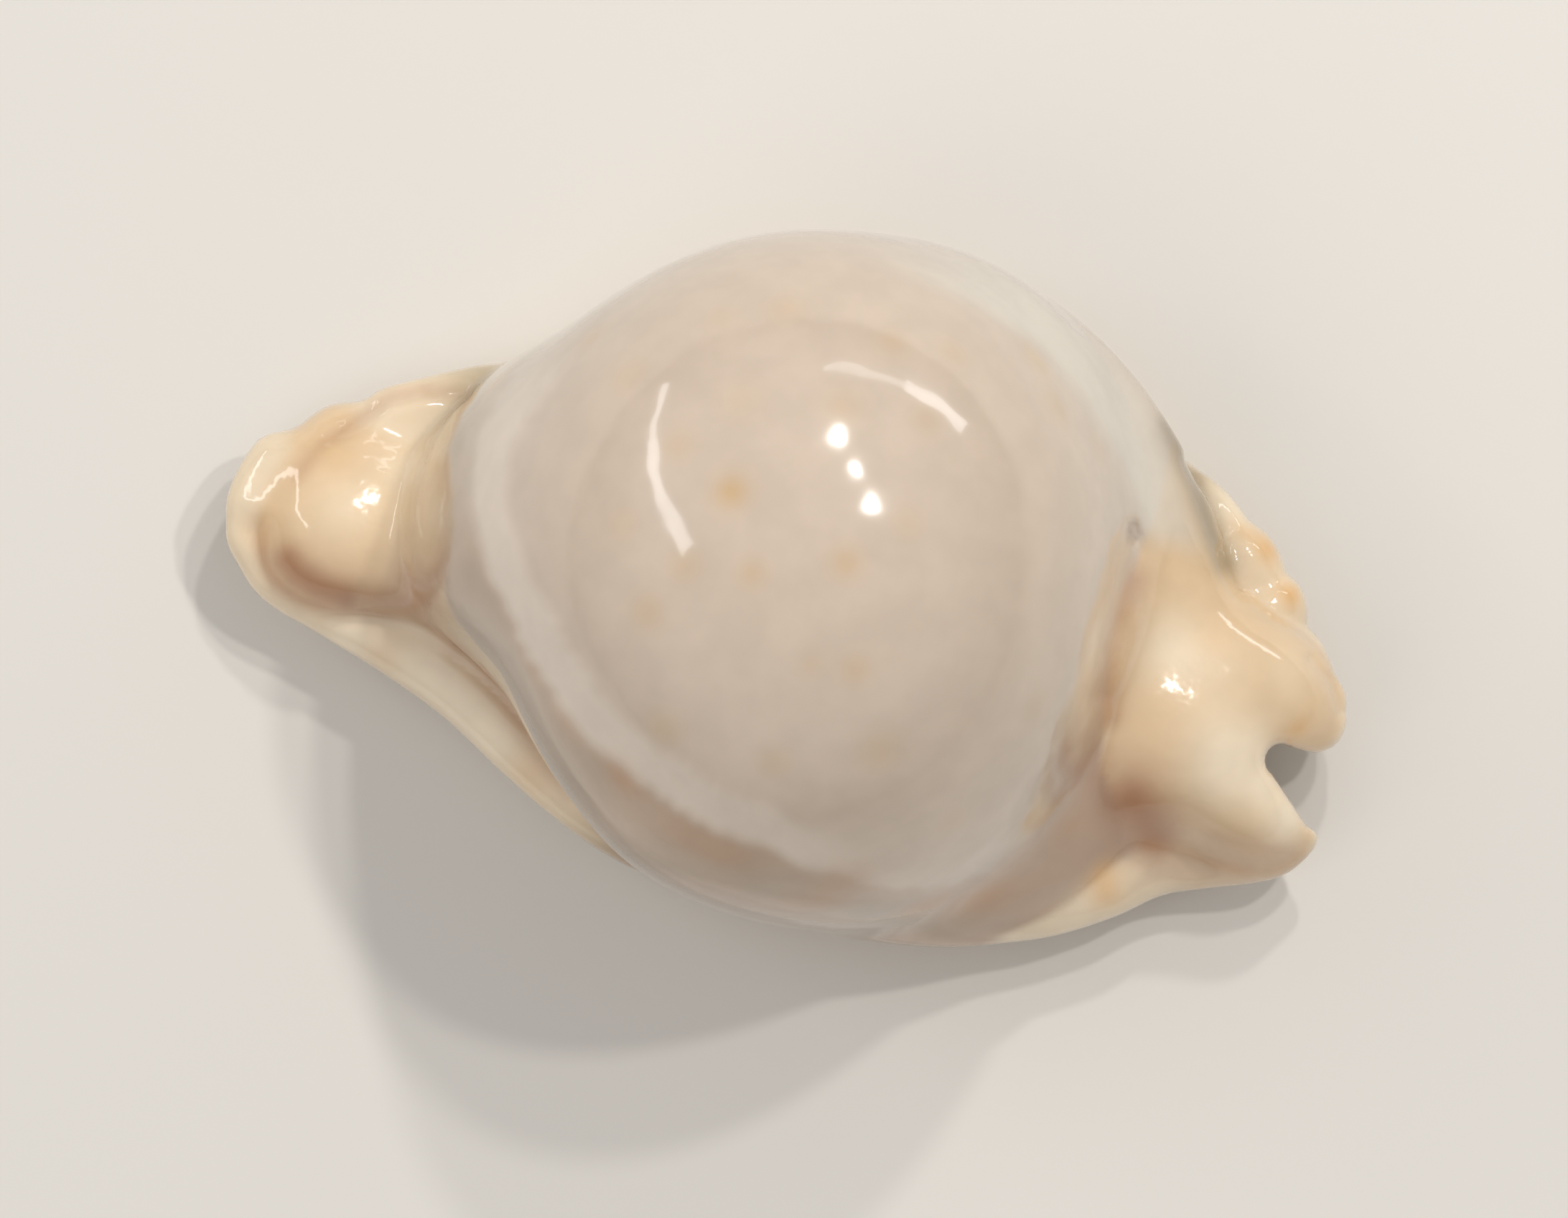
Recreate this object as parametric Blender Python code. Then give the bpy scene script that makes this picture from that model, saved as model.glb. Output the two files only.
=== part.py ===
"""Cowrie shell, a large pear-shaped species, lying on its base with the dome up.

The whole shell is one growth of glazed aragonite, so the model is one object.
-X is the front (anterior) end, +X the rear (posterior) end with the deep notch,
+Y the outer-lip side, -Y the columella side and +Z the dome. Metres.
The origin is under the middle of the shell, on the surface it lies on.
"""
import math

import bmesh
import bpy
import numpy as np

MM = 0.001

# Driving dimensions, in millimetres. The dome's top is at SHELL_HEIGHT, and WALL is its thickness there.
SHELL_HEIGHT = 49.5
WALL = 3.2
DOME_RADII = (26.1, 28.2, 26.5)
DOME_CENTRE = (0.0, 0.0, SHELL_HEIGHT - DOME_RADII[2])
HOLLOW_RADII = (23.8, 25.6, 20.8)
HOLLOW_CENTRE = (0.8, 0.0, SHELL_HEIGHT - WALL - HOLLOW_RADII[2])
NOTCH_INNER = (43.0, -5.9, 1.4)
NOTCH_MOUTH = (47.9, -7.8, 3.1)
NOTCH_FACETS = 32
TOOTH_HEIGHT = 0.75
OUTER_LIP_TOOTH_PITCH = 2.6
INNER_LIP_TOOTH_PITCH = 3.1
TEETH_FROM = -34.0
TEETH_TO = 34.0
SLIT_STEP = 0.65

# The margin in plan, 95 mm long and 58 mm wide, as hand-set points that a smooth closed curve goes through.
MARGIN = np.array([
    (-47.6, -5.8), (-47.2, -8.6), (-45.8, -10.8), (-43.9, -12.7), (-41.4, -13.9), (-37.5, -14.9),
    (-32.0, -16.7), (-26.0, -19.1), (-20.0, -22.6), (-15.0, -25.1), (-10.0, -27.1), (-4.0, -28.3),
    (2.0, -29.0), (8.0, -29.0), (14.0, -28.6), (20.0, -27.4), (24.0, -26.4), (28.0, -25.0),
    (32.5, -22.2), (36.0, -19.6), (39.5, -18.1), (42.9, -16.7), (45.6, -15.0), (47.6, -12.5),
    (46.9, -10.6), (45.2, -8.4), (44.2, -6.2), (45.6, -4.3), (47.1, -2.9), (47.9, -0.9),
    (46.4, 1.8), (43.8, 5.2), (41.3, 8.2), (38.3, 11.4), (34.8, 13.8), (31.0, 16.0),
    (25.0, 19.9), (20.5, 22.9), (14.0, 25.2), (8.0, 25.6), (-2.0, 25.3), (-12.0, 22.2), (-20.0, 17.8),
    (-25.3, 13.5), (-30.0, 10.6), (-34.3, 8.5), (-37.8, 6.8), (-40.2, 4.4), (-41.9, 1.9),
    (-44.3, 1.0), (-46.4, -0.1), (-47.5, -3.0),
])


def closed_curve(points, per_span=24):
    """Catmull-Rom curve through the points, closed."""
    p0, p1, p2, p3 = [np.roll(points, shift, 0)[:, None, :] for shift in (1, 0, -1, -2)]
    t = (np.arange(per_span) / per_span)[None, :, None]
    curve = 0.5 * (2 * p1 + (p2 - p0) * t + (2 * p0 - 5 * p1 + 4 * p2 - p3) * t**2
                   + (3 * p1 - p0 - 3 * p2 + p3) * t**3)
    return curve.reshape(-1, 2)


def margin_radius(turn):
    """Distance from the plan centre to the margin, in the direction of the angle turn."""
    curve = closed_curve(MARGIN)
    angle = np.arctan2(curve[:, 1], curve[:, 0])
    order = np.argsort(angle)
    return np.interp(turn, angle[order], np.hypot(*curve.T)[order], period=2 * np.pi)


def ease(value, low, high):
    """0 below low, 1 above high, a smooth step between them."""
    t = np.clip((value - low) / (high - low), 0, 1)
    return t * t * (3 - 2 * t)


def blend(first, second, width):
    """The lower of two distances, with the corner between them rounded over width."""
    soft = 0.36 * width
    return -soft * np.logaddexp(-first / soft, -second / soft)


def bulge(p, centre, radii, turn=0.0, dip=0.0, roll=0.0):
    """Rough distance to an ellipsoid. It is turned about Z, then tipped up at its +X end, then rolled up
    on its +Y side, in degrees."""
    x, y, z = [p[..., i] - centre[i] for i in range(3)]
    c, s = math.cos(math.radians(turn)), math.sin(math.radians(turn))
    x, y = x * c + y * s, y * c - x * s
    c, s = math.cos(math.radians(dip)), math.sin(math.radians(dip))
    x, z = x * c + z * s, z * c - x * s
    c, s = math.cos(math.radians(roll)), math.sin(math.radians(roll))
    y, z = y * c + z * s, z * c - y * s
    near = np.sqrt((x / radii[0])**2 + (y / radii[1])**2 + (z / radii[2])**2)
    slope = np.sqrt((x / radii[0]**2)**2 + (y / radii[1]**2)**2 + (z / radii[2]**2)**2)
    return near * (near - 1) / (slope + 1e-9)


def aperture_line(x):
    """Y of the middle of the slit at a place along the shell, a gentle curve."""
    return np.interp(x, *zip((-52, -5.6), (-42, -5.2), (-34, -4.0), (-25, -2.2), (-15, -0.3), (-5, 1.0),
                             (5, 1.6), (15, 1.4), (25, 0.0), (33, -2.0), (41, -5.0), (52, -7.6)))


def base_height(x, y):
    """Height of the underside: flat where it rests, rising to the margins, ends and lips."""
    bowl = 2.4 * (x / 45)**2 + 2.6 * (x / 47)**8 + 3.0 * (y / 28)**2 - 0.6
    lips = 1.2 * np.exp(-((y - aperture_line(x)) / 4.5)**2)
    return np.maximum(bowl + lips, 0.0)


def body_distance(p):
    """The dome and what grows out of it: shoulder, belly, flanks, neck and snout, rear mound, crest and lobe."""
    dome = bulge(p, DOME_CENTRE, DOME_RADII)
    shoulder = bulge(p, (5.6, 4.7, 17.0), (20.8, 23.8, 17.5))
    belly = bulge(p, (5.4, -6.0, 16.0), (20.2, 22.2, 20.0))
    upper = bulge(p, (21.0, 7.8, 9.5), (22.0, 12.2, 7.6), -48.5)
    lower = bulge(p, (12.5, -10.0, 9.0), (18.6, 16.2, 10.0), -14)
    neck = bulge(p, (-14.0, -0.7, 9.5), (18.2, 17.2, 23.0), 8)
    snout = blend(bulge(p, (-37.2, -5.8, 6.4), (6.0, 6.0, 6.2), 0, -4, -18),
                  bulge(p, (-34.2, -1.4, 5.8), (6.8, 7.6, 5.8), 14, -4, -20), 3.0)
    keel = bulge(p, (-34.5, -6.8, 6.4), (7.0, 4.6, 4.8))
    mound = bulge(p, (32.9, -5.2, 8.8), (9.4, 8.3, 8.6), 0, -3, -20)
    crest = bulge(p, (37.2, -7.4, 7.4), (9.9, 5.5, 7.4), -35)
    lobe = bulge(p, (36.6, 1.0, 7.6), (9.9, 5.8, 6.6), -10)
    whole = blend(blend(dome, shoulder, 4.0), belly, 5.0)
    whole = blend(blend(whole, upper, 7.0), lower, 7.0)
    whole = blend(whole, neck, 8.0)
    whole = blend(whole, blend(snout, keel, 2.5), 5.0)
    whole = blend(whole, blend(blend(mound, crest, 3.0), lobe, 3.5), 3.5)
    floor = base_height(p[..., 0], p[..., 1]) + 2.6 - p[..., 2]
    return np.maximum(whole, floor)


def carry_onto(distance, start, way, reach):
    """Runs each ray inwards from reach to the first crossing of the surface, then halves to it."""
    steps = np.linspace(reach, 0.0, 160)
    far = np.full(len(start), reach)
    near = np.zeros(len(start))
    found = np.zeros(len(start), bool)
    for out, inn in zip(steps[:-1], steps[1:]):
        inside = distance(start + way * inn) < 0
        fresh = inside & ~found
        far[fresh] = out
        near[fresh] = inn
        found |= inside
    for _ in range(24):
        middle = 0.5 * (near + far)
        inside = distance(start + way * middle[:, None]) < 0
        near = np.where(inside, middle, near)
        far = np.where(inside, far, middle)
    return start + way * near[:, None]


def new_mesh(name, bm):
    mesh = bpy.data.meshes.new(name)
    bm.normal_update()
    bm.to_mesh(mesh)
    bm.free()
    return mesh


def ball(segments, rings):
    """A unit sphere primitive with its poles on Z, and its points as an array."""
    bm = bmesh.new()
    bmesh.ops.create_uvsphere(bm, u_segments=segments, v_segments=rings, radius=1.0)
    points = np.array([v.co[:] for v in bm.verts])
    return bm, points


def place(bm, points):
    for vert, point in zip(bm.verts, points * MM):
        vert.co = point


def body_mesh():
    """A sphere with its poles on X, carried out from a spine onto the dome, snout and mound."""
    bm, unit = ball(58, 38)
    unit = unit[:, [2, 0, 1]]
    along = np.arcsin(np.clip(unit[:, 0], -1, 1)) / (np.pi / 2)
    ring = np.arctan2(unit[:, 2], unit[:, 1])
    spine_x = np.where(along < 0, 33.0, 35.0) * np.sign(along) * np.abs(along)**0.9
    spine = np.stack([spine_x, -0.3 - 0.0030 * spine_x**2, 14.0 - 0.0032 * spine_x**2], 1)
    tilt = np.sign(along) * np.abs(along)**2.6 * (np.pi / 2)
    way = np.stack([np.sin(tilt), np.cos(tilt) * np.cos(ring), np.cos(tilt) * np.sin(ring)], 1)
    place(bm, carry_onto(body_distance, spine, way, 42.0))
    bmesh.ops.recalc_face_normals(bm, faces=bm.faces[:])
    return new_mesh("shell_body", bm)


def amidships(x):
    """1 in the middle of the length, where the body's sides run down into the margin, 0 at the ends."""
    return ease(x, -14, 2) * ease(-x, -27, -12)


def margin_top(x, y, depth):
    """Height of the flange. It rises inwards, is highest amidships and lower behind the lower lobe."""
    front = ease(-x, 28, 42)
    back = ease(x, 22, 40)
    behind_lobe = ease(x, 33, 39) * ease(-y, 8, 14)
    ends = 8.0 + 0.3 * front + 0.9 * back - 2.4 * behind_lobe
    return ends + 4.0 * amidships(x) + 0.12 * np.clip(depth, 0, 12)


def flange_mesh():
    """A flattened sphere spread out to the margin: the flange above, the whole base below."""
    above = (40.0, 14.0, 9.0, 6.5, 4.5, 3.0, 1.7, 0.7, 0.15)
    below = (0.15, 0.8, 2.0, 4.0, 7.0, 0.62, 0.5, 0.4, 0.3, 0.2, 0.1)
    rings = len(above) + len(below) + 1
    bm, unit = ball(88, rings)
    level = np.rint(np.arccos(np.clip(unit[:, 2], -1, 1)) / np.pi * rings).astype(int)
    turn = np.arctan2(0.65 * unit[:, 1], unit[:, 0])
    edge = margin_radius(turn)
    slope = (margin_radius(turn + 0.01) - margin_radius(turn - 0.01)) / 0.02
    skew = np.sqrt(1 + (slope / edge)**2)
    on_top = level <= len(above)
    depth = np.array((99.0,) + above + below + (99.0,))[level]
    share = (level > len(above) + 5) & (level < rings)
    radius = np.where(share, edge * depth, np.maximum(edge - depth * skew, 0))
    depth = np.where(share, (edge - radius) / skew, depth)
    radius = np.where((level == 0) | (level == rings), 0.0, radius)
    x, y = radius * np.cos(turn), radius * np.sin(turn)
    top, bottom = margin_top(x, y, depth), base_height(x, y)
    round_edge = np.minimum(3.0 + 2.0 * amidships(x), 0.475 * (top - bottom))
    inset = np.clip(round_edge - depth, 0, round_edge)
    drop = round_edge - np.sqrt(round_edge**2 - inset**2)
    place(bm, np.stack([x, y, np.where(on_top, top - drop, bottom + drop)], 1))
    bmesh.ops.recalc_face_normals(bm, faces=bm.faces[:])
    return new_mesh("shell_flange", bm)


def notch_mesh():
    """A cylinder drawn out into a rounded wedge, through the rear end from top to bottom."""
    bm = bmesh.new()
    bmesh.ops.create_cone(bm, cap_ends=True, segments=NOTCH_FACETS, radius1=1.0, radius2=1.0, depth=60.0)
    lead = math.atan2(NOTCH_MOUTH[1] - NOTCH_INNER[1], NOTCH_MOUTH[0] - NOTCH_INNER[0])
    for vert in bm.verts:
        angle = math.atan2(vert.co.y, vert.co.x)
        x, y, radius = NOTCH_MOUTH if math.cos(angle - lead) > 0 else NOTCH_INNER
        high = vert.co.z + 25.0
        vert.co = (MM * (x + radius * math.cos(angle)), MM * (y + radius * math.sin(angle)), MM * high)
    bmesh.ops.recalc_face_normals(bm, faces=bm.faces[:])
    return new_mesh("rear_notch", bm)


def slit_half_width(x):
    """Half the gap between the lips: tight in the middle, wider at both canals."""
    return np.interp(x, *zip((-52, 3.2), (-45, 2.4), (-37, 1.8), (-26, 2.2), (-5, 1.8),
                             (15, 1.6), (28, 1.6), (38, 2.2), (52, 3.2)))


def slit_roof(x):
    """Top of the slit: inside the hollow in the middle, a roofed canal at both ends."""
    return np.interp(x, *zip((-52, 5.0), (-44, 5.2), (-38, 6.6), (-31, 9.0), (-22, 13.0), (22, 13.0),
                             (32, 10.0), (40, 7.0), (52, 6.0)))


def slit_mesh():
    """A loft along the aperture line whose walls wave in and out between the teeth of both lips."""
    toothed = np.arange(TEETH_FROM, TEETH_TO + 1e-6, SLIT_STEP)
    x = np.concatenate([[-52, -46, -41, -37], toothed, [37, 41, 46, 52]])
    fade = ease(x, TEETH_FROM - 1, TEETH_FROM + 4) * ease(-x, -TEETH_TO - 1, -TEETH_TO + 4)
    y, half, roof = aperture_line(x), slit_half_width(x), slit_roof(x)
    sides = []
    for side, pitch in ((1, OUTER_LIP_TOOTH_PITCH), (-1, INNER_LIP_TOOTH_PITCH)):
        tooth = TOOTH_HEIGHT * fade * (0.5 + 0.5 * np.cos(2 * np.pi * x / pitch))
        for out, inward, up in ((1.6, 0.6, -4.0), (0.5, 1.0, 1.6), (0.0, 1.0, 3.4), (0.0, 0.0, 7.0),
                                (-0.5, 0.0, 99.0)):
            wall = y + side * (half + out - inward * tooth)
            sides.append(np.stack([x, wall, np.minimum(up, roof)], 1))
    section = np.array(sides[:5] + sides[:4:-1])
    count, length = section.shape[:2]
    bm = bmesh.new()
    grid = [[bm.verts.new(point * MM) for point in section[:, i]] for i in range(length)]
    for here, there in zip(grid[:-1], grid[1:]):
        for a in range(count):
            b = (a + 1) % count
            bm.faces.new((here[a], here[b], there[b], there[a]))
    bm.faces.new(grid[0])
    bm.faces.new(grid[-1])
    bmesh.ops.recalc_face_normals(bm, faces=bm.faces[:])
    return new_mesh("aperture_slit", bm)


def hollow_mesh():
    """The room inside the last whorl: an ellipsoid whose top is one wall thickness below the dome's."""
    bm, unit = ball(30, 18)
    place(bm, unit * HOLLOW_RADII + HOLLOW_CENTRE)
    bmesh.ops.recalc_face_normals(bm, faces=bm.faces[:])
    return new_mesh("shell_hollow", bm)


def porcelain():
    """Glazed, cream with a pink-grey cast."""
    material = bpy.data.materials.new("shell_porcelain")
    material.use_nodes = True
    surface = material.node_tree.nodes["Principled BSDF"]
    surface.inputs["Base Color"].default_value = (0.62, 0.49, 0.39, 1.0)
    surface.inputs["Roughness"].default_value = 0.12
    surface.inputs["Metallic"].default_value = 0.0
    return material


def add(collection, name, mesh, helper=True):
    thing = bpy.data.objects.new(name, mesh)
    collection.objects.link(thing)
    if helper:
        thing.hide_render = True
        thing.display_type = "WIRE"
    return thing


def join_or_cut(target, other, operation):
    step = target.modifiers.new(other.name, "BOOLEAN")
    step.operation = operation
    step.solver = "EXACT"
    step.object = other


for old in list(bpy.data.objects):
    bpy.data.objects.remove(old, do_unlink=True)

parts = bpy.data.collections.new("cowrie_shell")
cutters = bpy.data.collections.new("cowrie_shell_cutters")
bpy.context.scene.collection.children.link(parts)
bpy.context.scene.collection.children.link(cutters)

shell = add(parts, "cowrie_shell", body_mesh(), helper=False)
shell.data.materials.append(porcelain())
join_or_cut(shell, add(cutters, "flange", flange_mesh()), "UNION")
join_or_cut(shell, add(cutters, "notch", notch_mesh()), "DIFFERENCE")
join_or_cut(shell, add(cutters, "slit", slit_mesh()), "DIFFERENCE")
join_or_cut(shell, add(cutters, "hollow", hollow_mesh()), "DIFFERENCE")
shell.data.shade_smooth()
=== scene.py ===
import math

import bpy
import numpy as np
from mathutils import Matrix, Vector


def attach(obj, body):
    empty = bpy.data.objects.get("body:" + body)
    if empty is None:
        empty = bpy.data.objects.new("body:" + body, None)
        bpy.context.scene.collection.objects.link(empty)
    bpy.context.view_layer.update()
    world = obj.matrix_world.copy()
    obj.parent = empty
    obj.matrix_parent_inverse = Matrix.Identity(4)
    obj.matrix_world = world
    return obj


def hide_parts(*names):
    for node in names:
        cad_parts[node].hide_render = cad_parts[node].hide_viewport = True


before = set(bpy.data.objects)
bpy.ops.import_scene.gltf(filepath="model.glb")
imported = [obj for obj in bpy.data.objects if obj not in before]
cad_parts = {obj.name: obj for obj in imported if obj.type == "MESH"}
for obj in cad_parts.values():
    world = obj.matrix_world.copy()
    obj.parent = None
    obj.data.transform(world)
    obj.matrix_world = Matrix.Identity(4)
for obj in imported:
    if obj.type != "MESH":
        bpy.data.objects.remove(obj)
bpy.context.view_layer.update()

# ---------------------------------------------------------------------------
# The shell: one growth of aragonite, laid down by the mantle in layers and
# polished like porcelain. It has an inflated dome, a blunt snout, a mound and two
# lobes round the rear notch, a rolled flange and a toothed slit in its base.
# ---------------------------------------------------------------------------
# Front is -X, the outer lip's side is +Y and up is +Z. The shell is worked out in millimetres, from
# points round its margin as it is seen from above.
MARGIN = np.array([
    (-47.4, -5.8), (-46.9, -8.6), (-45.4, -10.6), (-43.6, -12.4), (-41.2, -13.6), (-37.5, -14.6),
    (-32.0, -16.4), (-26.0, -18.8), (-20.0, -22.2), (-15.0, -24.8), (-10.0, -26.8), (-4.0, -28.0),
    (2.0, -28.1), (8.0, -28.2), (14.0, -27.9), (20.0, -27.0), (24.0, -25.9), (28.0, -24.5),
    (32.5, -21.9), (36.0, -19.2), (39.5, -17.6), (42.6, -16.2), (45.2, -14.7), (46.9, -12.4),
    (46.9, -10.6), (45.2, -8.4), (44.2, -6.2), (45.6, -4.3), (46.9, -2.9), (47.1, -0.8),
    (45.8, 1.7), (43.4, 5.2), (41.2, 8.3), (38.2, 11.4), (34.8, 13.9), (30.9, 15.9),
    (25.0, 19.2), (17.0, 23.4), (8.0, 25.2), (-2.0, 24.9), (-12.0, 21.8), (-20.0, 17.6),
    (-25.3, 13.1), (-30.0, 10.5), (-34.3, 8.3), (-37.6, 6.4), (-39.8, 4.0), (-41.6, 1.6),
    (-44.0, 0.7), (-46.0, -0.4), (-47.1, -3.0),
])
TOOTH_HEIGHT = 0.8
OUTER_TOOTH_PITCH = 2.6
INNER_TOOTH_PITCH = 3.1
MILLIMETRE = 0.001


def ease(value, low, high):
    """0 below low, 1 above high, and a smooth step between: t squared times (3 - 2t)."""
    t = np.clip((value - low) / (high - low), 0, 1)
    return t * t * (3 - 2 * t)


def join(first, second, width):
    """Two forms grown into one: minus the log of the sum of exponentials, rounded over width."""
    soft = 0.36 * width
    return -soft * np.logaddexp(-first / soft, -second / soft)


def carve(solid, void, width):
    """A solid with a void taken out of it and the edge rounded over width."""
    return -join(-solid, void, width)


def bulge(x, y, z, centre, radii, turn=0.0, dip=0.0, roll=0.0):
    """Rough distance to an ellipsoid: k (k - 1) / m, where k is the scaled radius and m its slope.
    It is turned about Z, then tipped up at its +X end, then rolled up on its +Y side, in degrees."""
    x, y, z = x - centre[0], y - centre[1], z - centre[2]
    c, s = math.cos(math.radians(turn)), math.sin(math.radians(turn))
    x, y = x * c + y * s, y * c - x * s
    c, s = math.cos(math.radians(dip)), math.sin(math.radians(dip))
    x, z = x * c + z * s, z * c - x * s
    c, s = math.cos(math.radians(roll)), math.sin(math.radians(roll))
    y, z = y * c + z * s, z * c - y * s
    k = np.sqrt((x / radii[0])**2 + (y / radii[1])**2 + (z / radii[2])**2)
    m = np.sqrt((x / radii[0]**2)**2 + (y / radii[1]**2)**2 + (z / radii[2]**2)**2)
    return k * (k - 1) / (m + 1e-9)


def along(x, *points):
    """Straight runs between (x, value) points, read at x."""
    return np.interp(x, *zip(*points))


def margin_table():
    """Radius of the margin against its angle from the plan centre, and that radius's slope.
    A closed Catmull-Rom curve goes through the listed points, in steps between each two. The slope is
    averaged over a window of angles."""
    p0, p1, p2, p3 = [np.roll(MARGIN, shift, 0)[:, None, :] for shift in (1, 0, -1, -2)]
    steps, window = 24, 9
    t = (np.arange(steps) / steps)[None, :, None]
    curve = 0.5 * (2 * p1 + (p2 - p0) * t + (2 * p0 - 5 * p1 + 4 * p2 - p3) * t**2
                   + (3 * p1 - p0 - 3 * p2 + p3) * t**3)
    curve = curve.reshape(-1, 2)
    angle = np.arctan2(curve[:, 1], curve[:, 0])
    order = np.argsort(angle)
    angles = np.linspace(-math.pi, math.pi, 2881)
    radius = np.interp(angles, angle[order], np.hypot(*curve.T)[order], period=2 * math.pi)
    slope = np.gradient(radius, angles)
    slope = np.r_[slope[-window:], slope, slope[:window]]
    slope = np.convolve(slope, np.ones(window) / window, "same")[window:-window]
    return angles, radius, slope


margin_angles, margin_radii, margin_slopes = margin_table()


def ripples(x, y):
    """Growth ripples round the rear of the outer lip, with round crests, listed by x - y, and narrow dips:
    the root of a squared cosine and a small number, less about its mean."""
    beat = along(x - y, (6.3, -1), (16.2, 0), (22.7, 0.5), (26.1, 1), (30.5, 1.5), (32.9, 2), (37.1, 2.5),
                 (39.9, 3), (43.4, 3.5), (46.5, 4), (53.0, 5))
    crest = np.sqrt(np.cos(np.pi * beat)**2 + 0.04) - 0.62
    return crest * ease(x, 27, 32) * ease(y, -1.5, 2.0)


def past_margin(x, y):
    """Distance outwards from the margin in plan: the radius less the margin's, foreshortened by its slope."""
    angle, radius = np.arctan2(y, x), np.hypot(x, y)
    edge = np.interp(angle, margin_angles, margin_radii)
    slope = np.interp(angle, margin_angles, margin_slopes)
    return (radius - edge) / np.sqrt(1 + (slope / edge)**2) - 0.6 * ripples(x, y)


def furrow(x, y, width, *points):
    """How near a place is to a line through points in plan: a bell curve of the distance, 1 on the line."""
    near = 1e9
    for (ax, ay), (bx, by) in zip(points, points[1:]):
        ux, uy = bx - ax, by - ay
        t = np.clip(((x - ax) * ux + (y - ay) * uy) / (ux * ux + uy * uy), 0, 1)
        near = np.minimum(near, (x - ax - t * ux)**2 + (y - ay - t * uy)**2)
    return np.exp(-near / width**2)


def lip_line(x):
    """Y of the middle of the slit, a gentle bend towards the outer lip."""
    return along(x, (-52, -5.6), (-42, -5.2), (-34, -4.0), (-25, -2.2), (-15, -0.3), (-5, 1.0), (5, 1.6),
                 (15, 1.4), (25, 0.0), (33, -2.0), (41, -5.0), (52, -7.6))


def teeth(x, pitch):
    """Rounded teeth at a pitch along X, 0 to 1 and narrower than their gaps, fading at both ends."""
    wave = (0.5 + 0.5 * np.cos(2 * np.pi * x / pitch))**1.4
    return wave * ease(x, -36, -29) * ease(-x, -35, -28)


def underside(x, y):
    """Height of the base: a shallow bowl turned over, drawn up at the ends and beside the slit, where
    each tooth runs out over the base as a low rib."""
    bowl = 2.4 * (x / 45)**2 + 2.6 * (x / 47)**8 + 3.0 * (y / 28)**2 - 0.6
    side = y - lip_line(x)
    lips = 1.2 * np.exp(-(side / 4.5)**2)
    outer = teeth(x, OUTER_TOOTH_PITCH) * np.exp(-(np.maximum(side, 0) / 5.0)**2) * (side > 0)
    inner = teeth(x, INNER_TOOTH_PITCH) * np.exp(-(np.maximum(-side, 0) / 3.6)**2) * (side <= 0)
    return bowl + lips - 0.42 * (outer + inner)


def flange(x, y, z):
    """The rolled margin: a slab from the underside up to a top that rises inwards, as the distance to a
    rounded rectangle in the distance past the margin and the height. It is thickest and roundest
    amidships, where the sides of the body run down into it."""
    past = past_margin(x, y)
    front, back, amidships = ease(-x, 28, 42), ease(x, 22, 40), ease(x, -14, 2) * ease(-x, -27, -12)
    top = 8.0 + 0.3 * front + 0.9 * back + 6.0 * amidships - 2.4 * ease(x, 33, 39) * ease(-y, 8, 14)
    top = top + 0.12 * np.clip(-past, 0, 12)
    top = top + 0.9 * ripples(x, y) * ease(-past, -1, 3)
    bottom = underside(x, y)
    half = 0.5 * (top - bottom)
    edge = np.minimum(3.0 + 3.0 * amidships, 0.95 * half)
    a = past + edge
    b = np.abs(z - 0.5 * (top + bottom)) - half + edge
    return np.hypot(np.maximum(a, 0), np.maximum(b, 0)) - edge + np.minimum(np.maximum(a, b), 0)


def dorsum(x, y, z):
    """Everything above the flange, each form joined to the next: dome, shoulder and flanks, neck and
    snout, the rear mound with its crest and two lobes. Two shallow hollows are pressed into the flank
    behind the neck, as bell curves of the distance in plan."""
    dome = bulge(x, y, z, (0.0, 0.0, 23.0), (26.1, 28.2, 26.5))
    shoulder = bulge(x, y, z, (5.6, 4.7, 17.0), (20.8, 23.8, 17.5))
    upper = bulge(x, y, z, (21.0, 7.8, 9.5), (22.0, 12.2, 7.6), -48.5)
    belly = bulge(x, y, z, (5.4, -6.0, 16.0), (20.2, 22.2, 20.0))
    lower = bulge(x, y, z, (12.5, -10.0, 9.0), (18.6, 16.2, 10.0), -14)
    neck = bulge(x, y, z, (-14.0, -0.7, 9.5), (18.2, 17.2, 23.0), 8)
    snout = join(bulge(x, y, z, (-39.0, -7.2, 6.2), (5.2, 4.9, 6.3), 0, -12, -18),
                 bulge(x, y, z, (-37.0, -3.0, 5.3), (6.6, 7.9, 5.6), 14, -30, -18), 3.0)
    keel = bulge(x, y, z, (-34.5, -6.8, 6.4), (7.0, 4.6, 4.8))
    mound = bulge(x, y, z, (32.9, -5.2, 8.8), (9.4, 8.3, 8.6), 0, -3, -20)
    crest = bulge(x, y, z, (37.2, -7.4, 7.4), (9.9, 5.5, 7.4), -35)
    lobe = bulge(x, y, z, (37.2, 0.2, 8.2), (9.2, 5.8, 7.0), -10)
    whole = join(join(dome, shoulder, 4.0), belly, 5.0)
    whole = join(join(whole, upper, 7.0), lower, 7.0)
    whole = join(whole, neck, 8.0)
    whole = whole + 1.1 * np.exp(-((x + 14)**2 + (y + 21)**2) / 50)
    whole = whole + 2.0 * np.exp(-((x + 24)**2 + (y + 17)**2) / 45)
    whole = join(whole, join(snout, keel, 2.5), 5.5)
    return join(whole, join(join(mound, crest, 2.6), lobe, 2.8), 3.5)


def rear_notch(x, y):
    """The canal at the rear, a rounded wedge in plan: distance to a line less a radius that grows along
    it."""
    (ax, ay, ar), (bx, by, br) = (43.0, -5.9, 1.3), (47.5, -7.75, 3.05)
    ux, uy = bx - ax, by - ay
    t = np.clip(((x - ax) * ux + (y - ay) * uy) / (ux * ux + uy * uy), 0, 1)
    return np.hypot(x - ax - t * ux, y - ay - t * uy) - (ar + t * (br - ar))


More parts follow.
